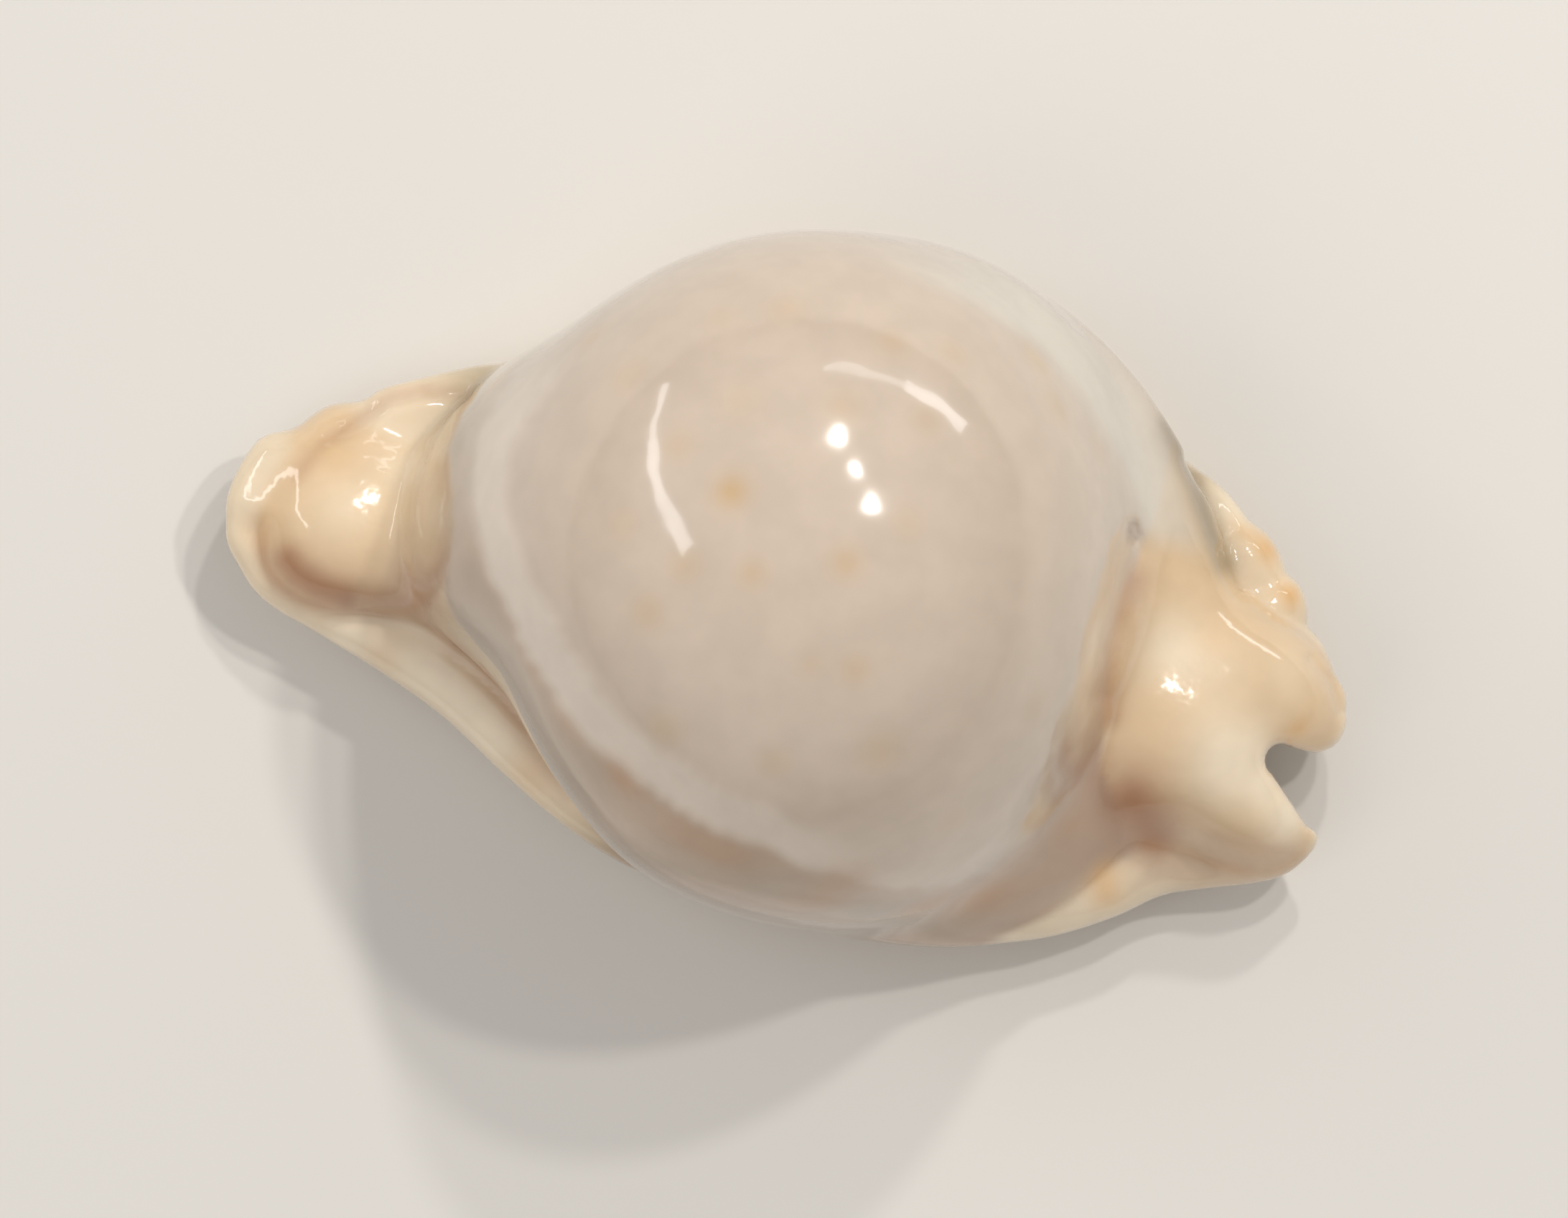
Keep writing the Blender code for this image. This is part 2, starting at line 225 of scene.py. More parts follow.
def inside_room(x, y, z):
    """The slit between the lips, whose walls wave with the teeth, and the hollow of the last whorl above
    it. The slit's half width and the height of its roof change along X."""
    side = y - lip_line(x)
    half = along(x, (-52, 3.2), (-45, 2.6), (-37, 2.0), (-26, 2.5), (-5, 2.1), (15, 1.9), (28, 1.9),
                 (38, 2.4), (52, 3.4))
    roof = along(x, (-52, 5.0), (-44, 5.2), (-38, 6.6), (-31, 9.0), (-22, 13.0), (22, 13.0), (32, 10.0),
                 (40, 7.0), (52, 6.0))
    low = ease(-z, -8.0, -3.5)
    tooth = np.where(side > 0, teeth(x, OUTER_TOOTH_PITCH), teeth(x, INNER_TOOTH_PITCH))
    slit = np.abs(side) - half + TOOTH_HEIGHT * low * tooth
    slit = carve(slit, roof - z, 2.0)
    hollow = bulge(x, y, z, (0.8, 0.0, 25.5), (23.8, 25.6, 20.8))
    return join(slit, hollow, 1.5)


def creases(x, y):
    """Depth of the creases in the upper surface: beside the front of the outer lip, in the fold between the
    dome and the rear mound, behind the shoulder and across the upper rear lobe."""
    front = furrow(x, y, 0.8, (-40.5, 1.6), (-38, 4), (-36.5, 6), (-34, 7.2), (-30.5, 7.8))
    fold = furrow(x, y, 1.2, (26.8, 8), (26.3, 3.6), (26.2, 0.2), (26.8, -4))
    rear = furrow(x, y, 0.7, (29.5, 16.5), (31, 14), (33, 11), (35, 8.5), (36.3, 7))
    lobe = furrow(x, y, 0.6, (43.5, 2.8), (45.8, 1), (46.9, -0.8))
    pit = furrow(x, y, 0.6, (26.3, 10.0), (26.7, 9.2))
    return 0.3 * front + 0.35 * fold + 0.4 * rear + 0.3 * lobe + 0.45 * pit


def shell_distance(x, y, z):
    """Below zero in the wall of the shell, above zero outside it and in its hollow, in millimetres. The
    flange drops a little beside the dome, so that a seam shows, and joins it over a width that changes."""
    over, rolled = dorsum(x, y, z), flange(x, y, z)
    seam = 0.9 * ease(-x, 12, 20) + 0.8 * ease(x, 27, 31) * ease(y, 2, 6)
    blend = 2.0 + 2.5 * ease(x, 0, 26) * ease(-y, -4, 6) + 0.6 * ease(-x, 33, 38)
    blend = blend + 2.4 * ease(-x, 38, 42) * ease(y, -8, -5)
    outer = join(over, rolled + seam * np.exp(-(over / 1.4)**2), blend)
    outer = outer + creases(x, y) * ease(z, 4, 7)
    outer = carve(outer, z - underside(x, y), 1.2)
    outer = carve(outer, z, 0.25)
    outer = carve(outer, rear_notch(x, y), 1.3)
    return carve(outer, inside_room(x, y, z), 0.9)


def slope_of(distance, p, step=0.02):
    """The gradient of a distance at points, by central differences."""
    moves = np.eye(3) * step
    return np.stack([distance(*(p + m).T) - distance(*(p - m).T) for m in moves], 1) / (2 * step)


def skin(distance, xs, ys, zs):
    """The zero surface as quads, one point in each grid box that the surface crosses: the mean of its
    crossings with the box's edges, then run down the slope onto the surface."""
    values = distance(xs[:, None, None], ys[None, :, None], zs[None, None, :])
    lines = (xs, ys, zs)
    cells = tuple(n - 1 for n in values.shape)
    total, hits = np.zeros((int(np.prod(cells)), 3)), np.zeros(int(np.prod(cells)))
    quads = []
    for axis in range(3):
        low = np.take(values, range(values.shape[axis] - 1), axis)
        high = np.take(values, range(1, values.shape[axis]), axis)
        at = np.array(np.nonzero((low < 0) != (high < 0)))
        a, b = low[tuple(at)], high[tuple(at)]
        point = np.stack([lines[i][at[i]] for i in range(3)], 1)
        run = lines[axis][at[axis] + 1] - lines[axis][at[axis]]
        point[:, axis] += run * a / (a - b)
        second, third = (axis + 1) % 3, (axis + 2) % 3
        ring, whole = [], np.ones(len(a), bool)
        for back_2, back_3 in ((0, 0), (1, 0), (1, 1), (0, 1)):
            cell = at.copy()
            cell[second] -= back_2
            cell[third] -= back_3
            good = (cell >= 0).all(0) & (cell < np.array(cells)[:, None]).all(0)
            whole &= good
            index = np.ravel_multi_index(np.clip(cell, 0, np.array(cells)[:, None] - 1), cells)
            np.add.at(total, index[good], point[good])
            np.add.at(hits, index[good], 1)
            ring.append(index)
        ring = np.stack(ring, 1)
        ring[a > 0] = ring[a > 0][:, ::-1]
        quads.append(ring[whole])
    used = np.nonzero(hits)[0]
    number = np.zeros(len(hits), int)
    number[used] = np.arange(len(used))
    points = total[used] / hits[used][:, None]
    passes, longest_move, gentlest = 4, 0.25, 0.05
    for _ in range(passes):
        slope = slope_of(distance, points)
        off = distance(*points.T)
        move = slope * (off / np.maximum((slope**2).sum(1), gentlest))[:, None]
        points = points - np.clip(move, -longest_move, longest_move)
    return points, number[np.concatenate(quads)]


# The grid is finer low down and in the middle, where the creases, the slit and the teeth are.
grid_x = np.linspace(-49.0, 49.0, 184)
grid_y = np.concatenate([np.arange(-30.3, -7.0, 0.58), np.arange(-7.0, 6.0, 0.48),
                         np.arange(6.0, 30.6, 0.58)])
grid_z = np.concatenate([np.arange(-0.83, 14.0, 0.48), np.arange(14.0, 51.0, 0.8)])
shell_points, shell_quads = skin(shell_distance, grid_x, grid_y, grid_z)
shell_slopes = slope_of(shell_distance, shell_points)
shell_slopes /= np.linalg.norm(shell_slopes, axis=1)[:, None]

shell_mesh = bpy.data.meshes.new("cowrie")
shell_mesh.from_pydata(shell_points * MILLIMETRE, [], shell_quads)
shell_mesh.shade_smooth()
shell_mesh.normals_split_custom_set_from_vertices(shell_slopes)
shell = bpy.data.objects.new("cowrie", shell_mesh)
bpy.context.scene.collection.objects.link(shell)


# The glaze. The mantle lays its colours down in soft washes: a cream dome with faint ochre spots and a
# browner rim, peach ends, a cream flange and white teeth. Over them go painted reflections on the dome,
# painted red-brown and olive shade in the folds and on steep sides, and painted highlights on the ends.
def wash(name, values):
    """Stores how strong one colour is at each point of the shell, from 0 to 1."""
    layer = shell_mesh.attributes.new(name, "FLOAT", "POINT")
    layer.data.foreach_set("value", np.clip(values, 0, 1).astype(np.float32))


def blots(*spots):
    """Soft round blots on the back, each (x, y, radius, strength), centred on the highest point there: the
    sum of bell curves of the distance."""
    total = np.zeros(len(px))
    for x, y, radius, strength in spots:
        aside = (px - x)**2 + (py - y)**2
        highest = np.where(aside < 0.7, pz, 0).max()
        total += strength * np.exp(-(aside + (pz - highest)**2) / radius**2)
    return total * back


# Places on the shell: on the forms above the flange or on the flange, on the back, and low down on it.
px, py, pz = shell_points.T
over, rolled = dorsum(px, py, pz), flange(px, py, pz)
back, low = ease(pz, 3.5, 6.5), ease(-pz, -17, -11)

# The peach ends: the front one starts past the neck, the rear one past a bent line at the mound's foot.
front_end = ease(-px, 28.5, 34)
foot = along(py, (-24, 34), (-18, 33), (-14, 30.5), (-10.4, 27.9), (-8, 27.6), (-4, 27.0), (0, 26.3),
             (4, 26.5), (8.4, 26.9), (12, 27.5))
rear_end = ease(px - foot, 0, 0.9 + 2 * ease(-py, 9, 13))
rear_end *= 1 - 0.75 * ease(py, 8, 11) * ease(30.5 - px - 0.5 * (py - 14), -1.5, 2)
wash("ends", np.maximum(front_end, rear_end) * back)

# The line where the top of the dome turns down to its rim, and where the painted reflection of the lit
# table meets that of the shell's shadow, read by its bearing from a middle point, and how far inside it a
# place lies. Two waves make it uneven.
middle_y = -2
turn = np.array([
    (26.8, 9), (32, 18), (20, 34), (0, 38), (-20, 32), (-25, 15), (-27.8, 8), (-28.5, 4), (-27.8, 0),
    (-26.6, -3), (-24.7, -6.4), (-22.1, -9.3), (-19.1, -12.7), (-15.7, -16.1), (-11.9, -18.7), (-7, -20.5),
    (-3, -22), (3, -23), (9, -23.7), (14, -23.5), (18, -22.5), (21.5, -20.5), (24, -17), (25.5, -12),
    (26.2, -6), (26.2, 0), (26.1, 5),
])
turn_bearing = np.arctan2(turn[:, 1] - middle_y, turn[:, 0])
turn_order = np.argsort(turn_bearing)
turn_reach = np.hypot(turn[:, 0], turn[:, 1] - middle_y)
bearing = np.arctan2(py - middle_y, px)
reach = np.interp(bearing, turn_bearing[turn_order], turn_reach[turn_order], period=2 * math.pi)
wave = 0.16 * np.sin(13 * bearing + 2 * np.sin(5 * bearing))
fine_wave = 0.1 * np.sin(47 * bearing + 4 * np.sin(7 * bearing))
inward = reach - np.hypot(px, py - middle_y) + wave + fine_wave

# The browner rim outside that line, partly the margin's own colour and partly painted shade, the shell's
# shadow on the table as the glaze mirrors it; and the paler veil inside it, a painted reflection of the lit
# table. The rim is strongest low down and on the inner lip's side, away from the lamps, and its edge is
# softer towards the outer lip.
inner_side = ease(-py, -1, 8)
softer = 1.2 * ease(py, -6, 4)
rim_end = 4 * ease(-py, 5, 12)
rim_and_shade = ease(-inward, -0.4, 0.6 + softer) * ease(px, -33, -29) * (1 - ease(px, 26.6 + rim_end, 29.5 + rim_end))
wash("rim_and_shade", rim_and_shade * (0.35 + 0.65 * inner_side) * (0.75 + 0.25 * low) * back)
reflection_veil = ease(inward, 0.0, 0.9) * (1 - ease(inward, 2.6, 4.4))
wash("reflection_veil", reflection_veil * ease(-px - 0.4 * py, -6, 8) * ease(15 - py, 0, 8) * back)

# The grey-white band behind the shoulder, and painted shade where a side turns steep.
band = furrow(px, py, 2.6, (0, 29), (10, 27.2), (16, 25), (21, 21.6), (26, 16.5), (29, 12), (31, 8.5))
wash("band", ease(band, 0.15, 0.7) * ease(px, -2, 12) * ease(pz, 7, 20))
wash("edge", ease(0.4 - shell_slopes[:, 2], 0, 0.32) * ease(pz, 6, 12))

# The cream flange, up to the seam with the dome. Beside the rear valley and along the lower edge the
# rim's colour, with its painted shade, runs down over it instead.
valley_edge = along(px, (20, -27), (24.7, -24.6), (29.2, -18.8), (34, -15.6), (40, -15))
valley_side = ease(py - valley_edge, -0.6, 0.8)
rim_side = ease(px, 22, 24.5) * (1 - ease(px, 33, 36)) * valley_side * ease(-py, 6, 10)
lower_side = ease(px, -13, -7) * (1 - ease(px, 22, 25)) * ease(-py, 20, 23) * ease(pz, 4.5, 8)
rim_side = np.maximum(rim_side, lower_side)
wash("flange", np.maximum(ease(over - rolled, -0.5, 1.2) * (1 - rim_side), 1 - back))

# Where the glaze is finely crazed: on both ends, most of all on the snout and the mound.
crazed_tops = blots((-37.2, -3.2, 4.5, 1), (33.5, -2.8, 5.5, 1))
wash("crazed", np.maximum(0.5 * np.maximum(front_end, rear_end), crazed_tops))

# Painted shade in red-brown: in the crease along the seam of the dome and the flange, under the snout, in
# the recess behind the neck, at the foot of the mound, in the rear valley, and the painted shadow beside the
# front of the outer lip.
seam_shade = (np.minimum(over, rolled) - join(over, rolled, 8.0)) / 2.0
seam_reach = ease(-py, 5.5, 8.5) * (1 - 0.7 * ease(px, -33, -29)) * (1 - 0.8 * ease(px, 8, 20))
recess = furrow(px, py, 1.6, (-30, -8.6), (-27.5, -11), (-24, -13.2), (-20, -16.4))
seam_run = furrow(px, py, 1.1, (-24.5, -13.2), (-20, -17), (-15, -21.5), (-10, -25))
mound_foot = furrow(px, py, 1.5, (27.2, 5.6), (26.7, 3.2), (26.6, 0.5), (26.9, -2), (27.8, -5.5))
lip_crease = furrow(px, py, 0.8, (-42.3, -2), (-40.8, 1), (-38, 4), (-36.5, 6), (-34, 7.2), (-30.5, 7.8))
wash("fold", back * np.maximum.reduce([
    0.6 * ease(seam_shade, 0.65, 1.0) * seam_reach,
    0.9 * furrow(px, py, 1.6, (-41.4, -9.2), (-40.4, -10.0), (-38.5, -10.7), (-36, -11.0)),
    0.6 * furrow(px, py, 1.6, (-36, -11.0), (-33, -10.6), (-30, -9.8)),
    0.9 * furrow(px, py, 1.8, (-30.5, -8.2), (-28, -9.9), (-25.5, -11.9)) * low,
    0.5 * recess * ease(-pz, -21, -13),
    0.5 * seam_run * low * ease(-px, 7, 19),
    0.6 * mound_foot * ease(px - foot, -0.8, 0.5),
    0.95 * furrow(px, py, 2.7, (31.6, -12), (34.2, -14.4)),
    0.45 * furrow(px, py, 2.3, (34.2, -14.4), (37.5, -15.8), (42, -15.4)),
    0.3 * ease(px, 36, 39) * ease(-py, 12.2, 13.4),
    0.4 * furrow(px, py, 2.6, (28.5, -10.5), (32, -12)),
    0.35 * lip_crease,
]))

# Painted shade in olive: the shadow in the crease behind the shoulder, the dark reflection where the dome
# runs steeply down to the neck, and shade along the lower edge and on the front of the rim.
shoulder_crease = furrow(px, py, 1.4, (27.5, 19), (30.2, 15), (32.2, 11.8), (34.2, 8.9))
neck_rise = ease(-inward, -0.4, 0.8 + softer) * ease(-px, 12, 24) * ease(py, -2, 5) * ease(px, -35, -28)
neck_ring = furrow(px, py, 2.3, (-23, 18), (-26.5, 14), (-29, 10), (-30.3, 5), (-30.5, 0), (-30, -4))
front_rim = ease(-inward, -0.1, 1.0) * ease(-px, 6, 14) * ease(-py, 3, 7) * ease(px, -29.5, -26)
wash("olive_shade", back * np.maximum.reduce([
    shoulder_crease * low,
    neck_rise * (0.75 + 0.25 * ease(pz, 10, 18)),
    0.45 * neck_ring,
    0.5 * ease(-py, 22.5, 26.5) * ease(px, -18, -8) * valley_side,
    0.5 * front_rim * ease(rolled - over, 0, 2),
]))

# The faint spots of the dome, the rust ones of the rim, and the orange marks of the flange and the ends.
wash("spots", blots(
    (-6.8, 5, 1.5, 1.0), (3.8, 1.5, 1.4, 0.6), (-3.5, -1.2, 1.3, 0.5), (-9, -1.8, 1.5, 0.45),
    (-11.2, -6.3, 1.5, 0.5), (6.6, -6.8, 1.3, 0.5), (3, -7.3, 1.1, 0.3), (10.3, -13, 1.8, 0.4),
    (-7.7, -15.5, 1.6, 0.4), (2, -16, 1.4, 0.35), (17.8, -17.6, 1.4, 0.35), (-15, 0.2, 1.6, 0.3),
    (-12, 7.7, 1.3, 0.4), (8, 5.8, 1.3, 0.3), (0.5, 14, 1.6, 0.35), (7.5, 14.6, 1.3, 0.35),
    (3.2, 20.3, 1.4, 0.4), (8.5, 20.8, 1.3, 0.4), (-6, 21, 1.5, 0.4), (-11.2, 19, 1.3, 0.25),
    (-7.8, 12.5, 1.6, 0.25), (-17.5, 12.5, 1.7, 0.3), (22.3, -6.5, 1.5, 0.3), (15.5, 22, 1.8, 0.5),
    (18.2, 18.6, 1.8, 0.45), (22.5, 16, 1.6, 0.35), (-21.5, 15, 1.6, 0.4)))
wash("rust", blots(
    (-19.5, -13.8, 1.6, 0.35), (-16, -17.2, 1.8, 0.4), (-10.4, -20.4, 2.0, 0.6), (-4, -24.0, 2.4, 0.3),
    (0, -24.8, 2.8, 0.45), (8.6, -26.6, 2.8, 0.7), (10.2, -24.4, 2.6, 0.45), (17.2, -25.4, 2.6, 1.0),
    (21.6, -23.4, 3.0, 1.0), (27.2, -15.8, 2.0, 0.35)))
wash("orange", blots(
    (30.9, -18.7, 1.5, 0.55), (31.6, -20.4, 1.5, 0.55), (38, 11.3, 1.6, 0.9), (40.8, 8.0, 1.5, 0.9),
    (35.5, 12.3, 1.2, 0.4), (44, -3.2, 1.1, 0.5), (-28.5, 9.8, 1.4, 0.5), (-44.3, -7.5, 1.8, 0.4),
    (-39.5, 0.3, 1.6, 0.25), (35, 2.5, 2.2, 0.2), (-32, -15.4, 2.0, 0.3), (-18, -21.8, 2.0, 0.35),
    (-12.5, -24.6, 1.8, 0.3)))

# The palest places: the front of the flange, its cream made paler as painted light where the dome shades
# it; the tops of the mound and snout, painted highlights; the lobes' pale callus; and the teeth.
front_lip = furrow(px, py, 2.0, (-35, -14.2), (-28, -15.8), (-23, -18.4), (-19, -21.5))
wash("cream_and_painted_light", 0.9 * front_lip * back + blots(
    (32.3, 0.8, 3.2, 0.8), (37.6, -5.2, 3.4, 0.6), (45, -10.6, 2.6, 1.0), (42.3, -8.3, 2.2, 0.7),
    (41, -5, 2.0, 0.5), (38.6, -8.6, 3.0, 0.6), (34.5, 14, 2.4, 0.6), (36, 1.5, 3.0, 0.3),
    (-37.4, -3.6, 3.2, 0.5), (-34, 1.2, 2.8, 0.5), (-27.5, -15, 2.2, 0.7), (-23.0, -18.4, 2.2, 0.8),
    (30, -22, 3.0, 0.5), (42.5, 2.0, 3.0, 0.3)))
wash("teeth", ease(-np.abs(py - lip_line(px)), -6.5, -3.0) * ease(-pz, -6.5, -2.0))


def srgb(r, g, b):
    """A colour as seen, 0 to 255, turned into the linear light values that a shader takes."""
    c = np.array([r, g, b]) / 255
    return (*np.where(c > 0.04045, ((c + 0.055) / 1.055)**2.4, c / 12.92), 1.0)


glaze = bpy.data.materials.new("shell_glaze")
glaze.use_nodes = True
tree = glaze.node_tree
surface = tree.nodes["Principled BSDF"]
surface.inputs["Roughness"].default_value = 0.12
surface.inputs["IOR"].default_value = 1.58
surface.inputs["Coat Weight"].default_value = 0.8
surface.inputs["Coat Roughness"].default_value = 0.05
surface.inputs["Subsurface Weight"].default_value = 0.12
surface.inputs["Subsurface Radius"].default_value = (1.0, 0.6, 0.4)
surface.inputs["Subsurface Scale"].default_value = 0.004


def layer_over(below, name, colour, strength):
    """One colour laid over the one below, as strong as the wash of that name says times a strength."""
    read = tree.nodes.new("ShaderNodeAttribute")
    read.attribute_name = name
    scale = tree.nodes.new("ShaderNodeMath")
    scale.operation = "MULTIPLY"
    scale.inputs[1].default_value = strength
    tree.links.new(read.outputs["Fac"], scale.inputs[0])
    mix = tree.nodes.new("ShaderNodeMix")
    mix.data_type = "RGBA"
    mix.inputs["B"].default_value = colour
    mix.inputs["Factor"].default_value = 0
    tree.links.new(scale.outputs[0], mix.inputs["Factor"])
    if isinstance(below, tuple):
        mix.inputs["A"].default_value = below
    else:
        tree.links.new(below, mix.inputs["A"])
    return mix.outputs["Result"]


def cloud(below, scale, darkest):
    """The colour below, clouded a little darker in soft patches by a noise at a scale."""
    spot = tree.nodes.new("ShaderNodeTexCoord")
    noise = tree.nodes.new("ShaderNodeTexNoise")
    noise.inputs["Scale"].default_value = scale
    tree.links.new(spot.outputs["Object"], noise.inputs["Vector"])
    fade = tree.nodes.new("ShaderNodeMapRange")
    fade.inputs["From Min"].default_value = 0.35
    fade.inputs["From Max"].default_value = 0.65
    fade.inputs["To Min"].default_value = darkest
    tree.links.new(noise.outputs["Fac"], fade.inputs["Value"])
    mix = tree.nodes.new("ShaderNodeMix")
    mix.data_type = "RGBA"
    mix.blend_type = "MULTIPLY"
    mix.inputs["Factor"].default_value = 1
    tree.links.new(below, mix.inputs["A"])
    tree.links.new(fade.outputs["Result"], mix.inputs["B"])
    return mix.outputs["Result"]


# From the lowest layer up: the wash, its colour and its strength. The rim and cream layers are partly
# painted shade and painted light, the veil is a painted reflection, and edge, fold and olive are painted
# shade.
glaze_layers = (
    ("rim_and_shade", (180, 149, 122), 1.0),
    ("reflection_veil", (225, 211, 197), 0.95),
    ("band", (220, 215, 203), 0.85),
    ("edge", (176, 158, 138), 0.4),
    ("ends", (226, 197, 158), 1.0),
    ("flange", (236, 217, 188), 1.0),
    ("cream_and_painted_light", (245, 230, 205), 1.0),
    ("fold", (168, 110, 68), 0.9),
    ("olive_shade", (138, 122, 92), 0.85),
    ("spots", (206, 172, 124), 0.8),
    ("rust", (180, 132, 82), 0.9),
    ("orange", (226, 178, 114), 1.0),
    ("teeth", (238, 230, 216), 1.0),
)
colour = srgb(208, 191, 174)
for name, tone, strength in glaze_layers:
    colour = layer_over(colour, name, srgb(*tone), strength)
tree.links.new(cloud(colour, scale=260, darkest=0.94), surface.inputs["Base Color"])

# The glaze is lightly beaten all over and finely crazed at the ends. The relief's height is the beaten
# noise plus the crazed one times its share, which is 0.5 times the crazed wash plus 0.012.
place = tree.nodes.new("ShaderNodeTexCoord")
worn = tree.nodes.new("ShaderNodeAttribute")
worn.attribute_name = "crazed"
beaten, crazed = tree.nodes.new("ShaderNodeTexNoise"), tree.nodes.new("ShaderNodeTexNoise")
for noise, noise_scale in ((beaten, 190), (crazed, 900)):
    noise.inputs["Scale"].default_value = noise_scale
    noise.inputs["Detail"].default_value = 1
    tree.links.new(place.outputs["Object"], noise.inputs["Vector"])
share = tree.nodes.new("ShaderNodeMath")
share.operation = "MULTIPLY_ADD"
share.inputs[1].default_value = 0.5
share.inputs[2].default_value = 0.012
height = tree.nodes.new("ShaderNodeMath")
height.operation = "MULTIPLY_ADD"
relief = tree.nodes.new("ShaderNodeBump")
relief.inputs["Distance"].default_value = 0.0001
tree.links.new(worn.outputs["Fac"], share.inputs[0])
tree.links.new(crazed.outputs["Fac"], height.inputs[0])
tree.links.new(share.outputs[0], height.inputs[1])
tree.links.new(beaten.outputs["Fac"], height.inputs[2])
tree.links.new(height.outputs[0], relief.inputs["Height"])
tree.links.new(relief.outputs["Normal"], surface.inputs["Normal"])
tree.links.new(relief.outputs["Normal"], surface.inputs["Coat Normal"])
shell_mesh.materials.append(glaze)
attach(shell, "root")
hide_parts("cowrie_shell")

# ---------------------------------------------------------------------------
# The studio: a pale table in a pale room, three small lamps, narrow strips on the
# outer lip's side and round the front, and two soft lamps in front that the
# glaze doesn't mirror.
# ---------------------------------------------------------------------------
TABLE_HALF = 3
SHELL_MIDDLE = Vector((0, 0, 0.03))
SPOT_TINT = (255, 250, 242)
SOFT_TINT = (255, 250, 244)

floor_mesh = bpy.data.meshes.new("table")
floor_corners = [(x * TABLE_HALF, y * TABLE_HALF, 0) for x, y in ((-1, -1), (1, -1), (1, 1), (-1, 1))]
floor_mesh.from_pydata(floor_corners, [], [(0, 1, 2, 3)])
floor = bpy.data.objects.new("table", floor_mesh)
bpy.context.scene.collection.objects.link(floor)
table_paint = bpy.data.materials.new("table_paint")
table_paint.use_nodes = True
paint = table_paint.node_tree.nodes["Principled BSDF"]
paint.inputs["Base Color"].default_value = srgb(226, 224, 221)
paint.inputs["Roughness"].default_value = 0.7
floor_mesh.materials.append(table_paint)

# The room lights the shell evenly at a set level. In the glaze and to the camera it is brighter, and
# falls off towards the horizon and below it.
room = bpy.data.worlds.new("room")
bpy.context.scene.world = room
room.use_nodes = True
air = room.node_tree
air.nodes["Background"].inputs["Color"].default_value = srgb(235, 232, 228)
path = air.nodes.new("ShaderNodeLightPath")
seen = air.nodes.new("ShaderNodeMath")
seen.operation = "MAXIMUM"
air.links.new(path.outputs["Is Camera Ray"], seen.inputs[0])
air.links.new(path.outputs["Is Glossy Ray"], seen.inputs[1])
outwards = air.nodes.new("ShaderNodeTexCoord")
parts = air.nodes.new("ShaderNodeSeparateXYZ")
air.links.new(outwards.outputs["Generated"], parts.inputs[0])
height_tone = air.nodes.new("ShaderNodeMapRange")
height_tone.inputs["From Max"].default_value = 0.5
height_tone.inputs["To Min"].default_value = 0.5
air.links.new(parts.outputs["Z"], height_tone.inputs["Value"])
level = air.nodes.new("ShaderNodeMix")
level.inputs["A"].default_value = 0.51
air.links.new(seen.outputs[0], level.inputs["Factor"])
air.links.new(height_tone.outputs["Result"], level.inputs["B"])
air.links.new(level.outputs["Result"], air.nodes["Background"].inputs["Strength"])


def direction(tilt, azimuth):
    """The unit vector at a tilt from the vertical and an azimuth from +X, in degrees."""
    t, a = math.radians(tilt), math.radians(azimuth)
    return Vector((math.sin(t) * math.cos(a), math.sin(t) * math.sin(a), math.cos(t)))


def lamp(name, tilt, azimuth, reach, size, power, tint, mirrored):
    """A round lamp in a direction from the shell and facing it, which the glaze mirrors or doesn't."""
    light = bpy.data.lights.new(name, "AREA")
    light.shape = "DISK"
    light.size = size
    light.energy = power
    light.color = srgb(*tint)[:3]
    thing = bpy.data.objects.new(name, light)
    way = direction(tilt, azimuth)
    thing.location = way * reach + SHELL_MIDDLE
    thing.rotation_euler = way.to_track_quat("Z", "Y").to_euler()
    thing.visible_camera = False
    thing.visible_glossy = mirrored
    bpy.context.scene.collection.objects.link(thing)


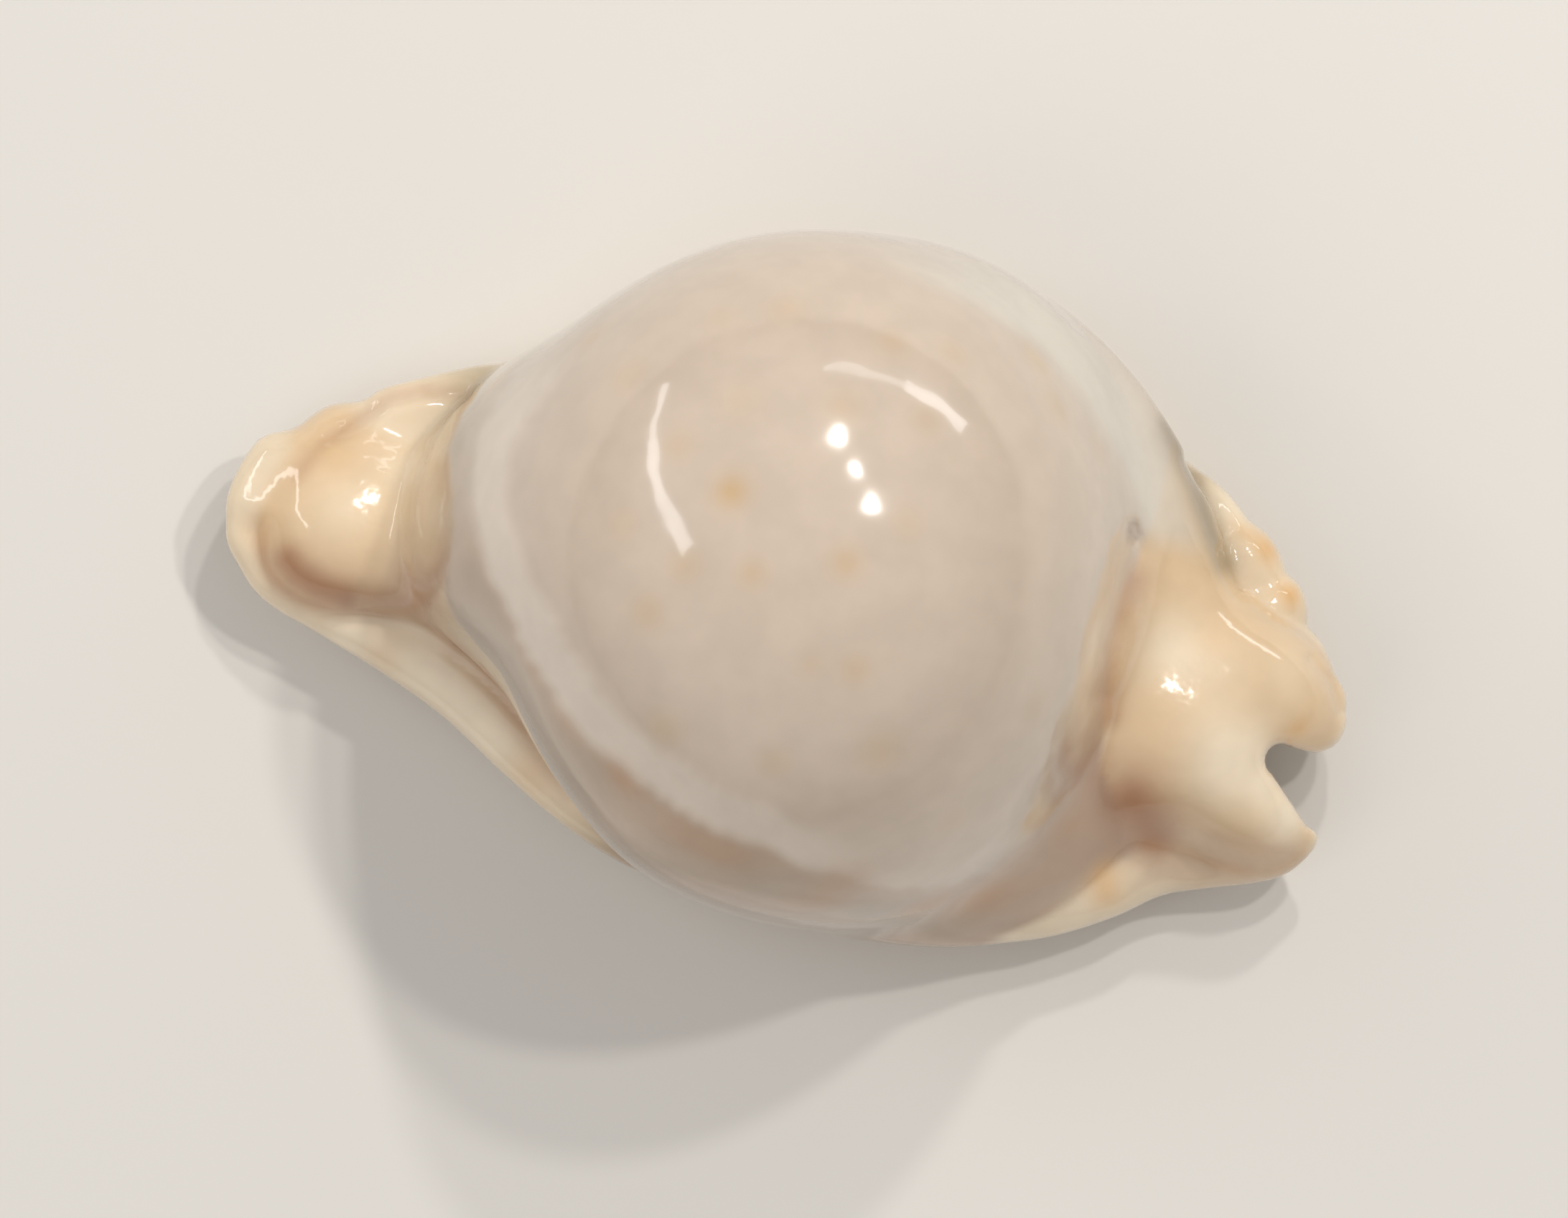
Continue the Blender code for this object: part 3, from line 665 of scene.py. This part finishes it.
def strip_lamp(name, start, end, reach, width, glow):
    """A narrow lamp as bright as glow, facing the shell. It spans two directions, each a tilt and an
    azimuth, so its power is glow times pi times its area."""
    first, last = direction(*start) * reach, direction(*end) * reach
    run, middle = last - first, (first + last) / 2
    light = bpy.data.lights.new(name, "AREA")
    light.shape = "RECTANGLE"
    light.size = run.length
    light.size_y = width
    light.energy = glow * math.pi * run.length * width
    thing = bpy.data.objects.new(name, light)
    thing.location = middle + SHELL_MIDDLE
    along_x = run.normalized()
    back_z = (middle - along_x * middle.dot(along_x)).normalized()
    up_y = back_z.cross(along_x)
    thing.rotation_euler = Matrix((along_x, up_y, back_z)).transposed().to_euler()
    thing.visible_camera = False
    bpy.context.scene.collection.objects.link(thing)


for number, tilt, azimuth in ((1, 45.8, 87), (2, 37.7, 70), (3, 33.6, 50)):
    lamp(f"spot_{number}", tilt, azimuth, reach=0.8, size=0.045, power=1.2, tint=SPOT_TINT, mirrored=True)
for number, start, end, width, glow in (
        (1, (85, 141.6), (74.7, 153.9), 0.03, 3.4),
        (2, (74.7, 153.9), (56.9, 167.9), 0.05, 3.8),
        (3, (56.9, 167.9), (41, 182.7), 0.055, 3.6),
        (4, (68.7, 96.1), (75.4, 71.1), 0.03, 2.2),
        (5, (75.4, 71.1), (79.7, 49.8), 0.06, 3.8)):
    strip_lamp(f"strip_{number}", start, end, reach=0.8, width=width, glow=glow)
lamp("soft_left", 60, 172, reach=1.4, size=0.9, power=2.2, tint=SOFT_TINT, mirrored=False)
lamp("soft_front", 42, 226, reach=1.4, size=0.9, power=2.3, tint=SOFT_TINT, mirrored=False)

# ---------------------------------------------------------------------------
# The camera, 2 m straight above with a long lens, turned about its view so that
# the shell slopes down to the rear.
# ---------------------------------------------------------------------------
eye = bpy.data.cameras.new("camera")
eye.lens = 552
eye.clip_end = 20
camera = bpy.data.objects.new("camera", eye)
camera.location = (-0.00026, -0.00337, 2.015)
camera.rotation_euler = (0, 0, math.radians(13.6))
bpy.context.scene.collection.objects.link(camera)
bpy.context.scene.camera = camera
bpy.context.scene.view_settings.view_transform = "Standard"
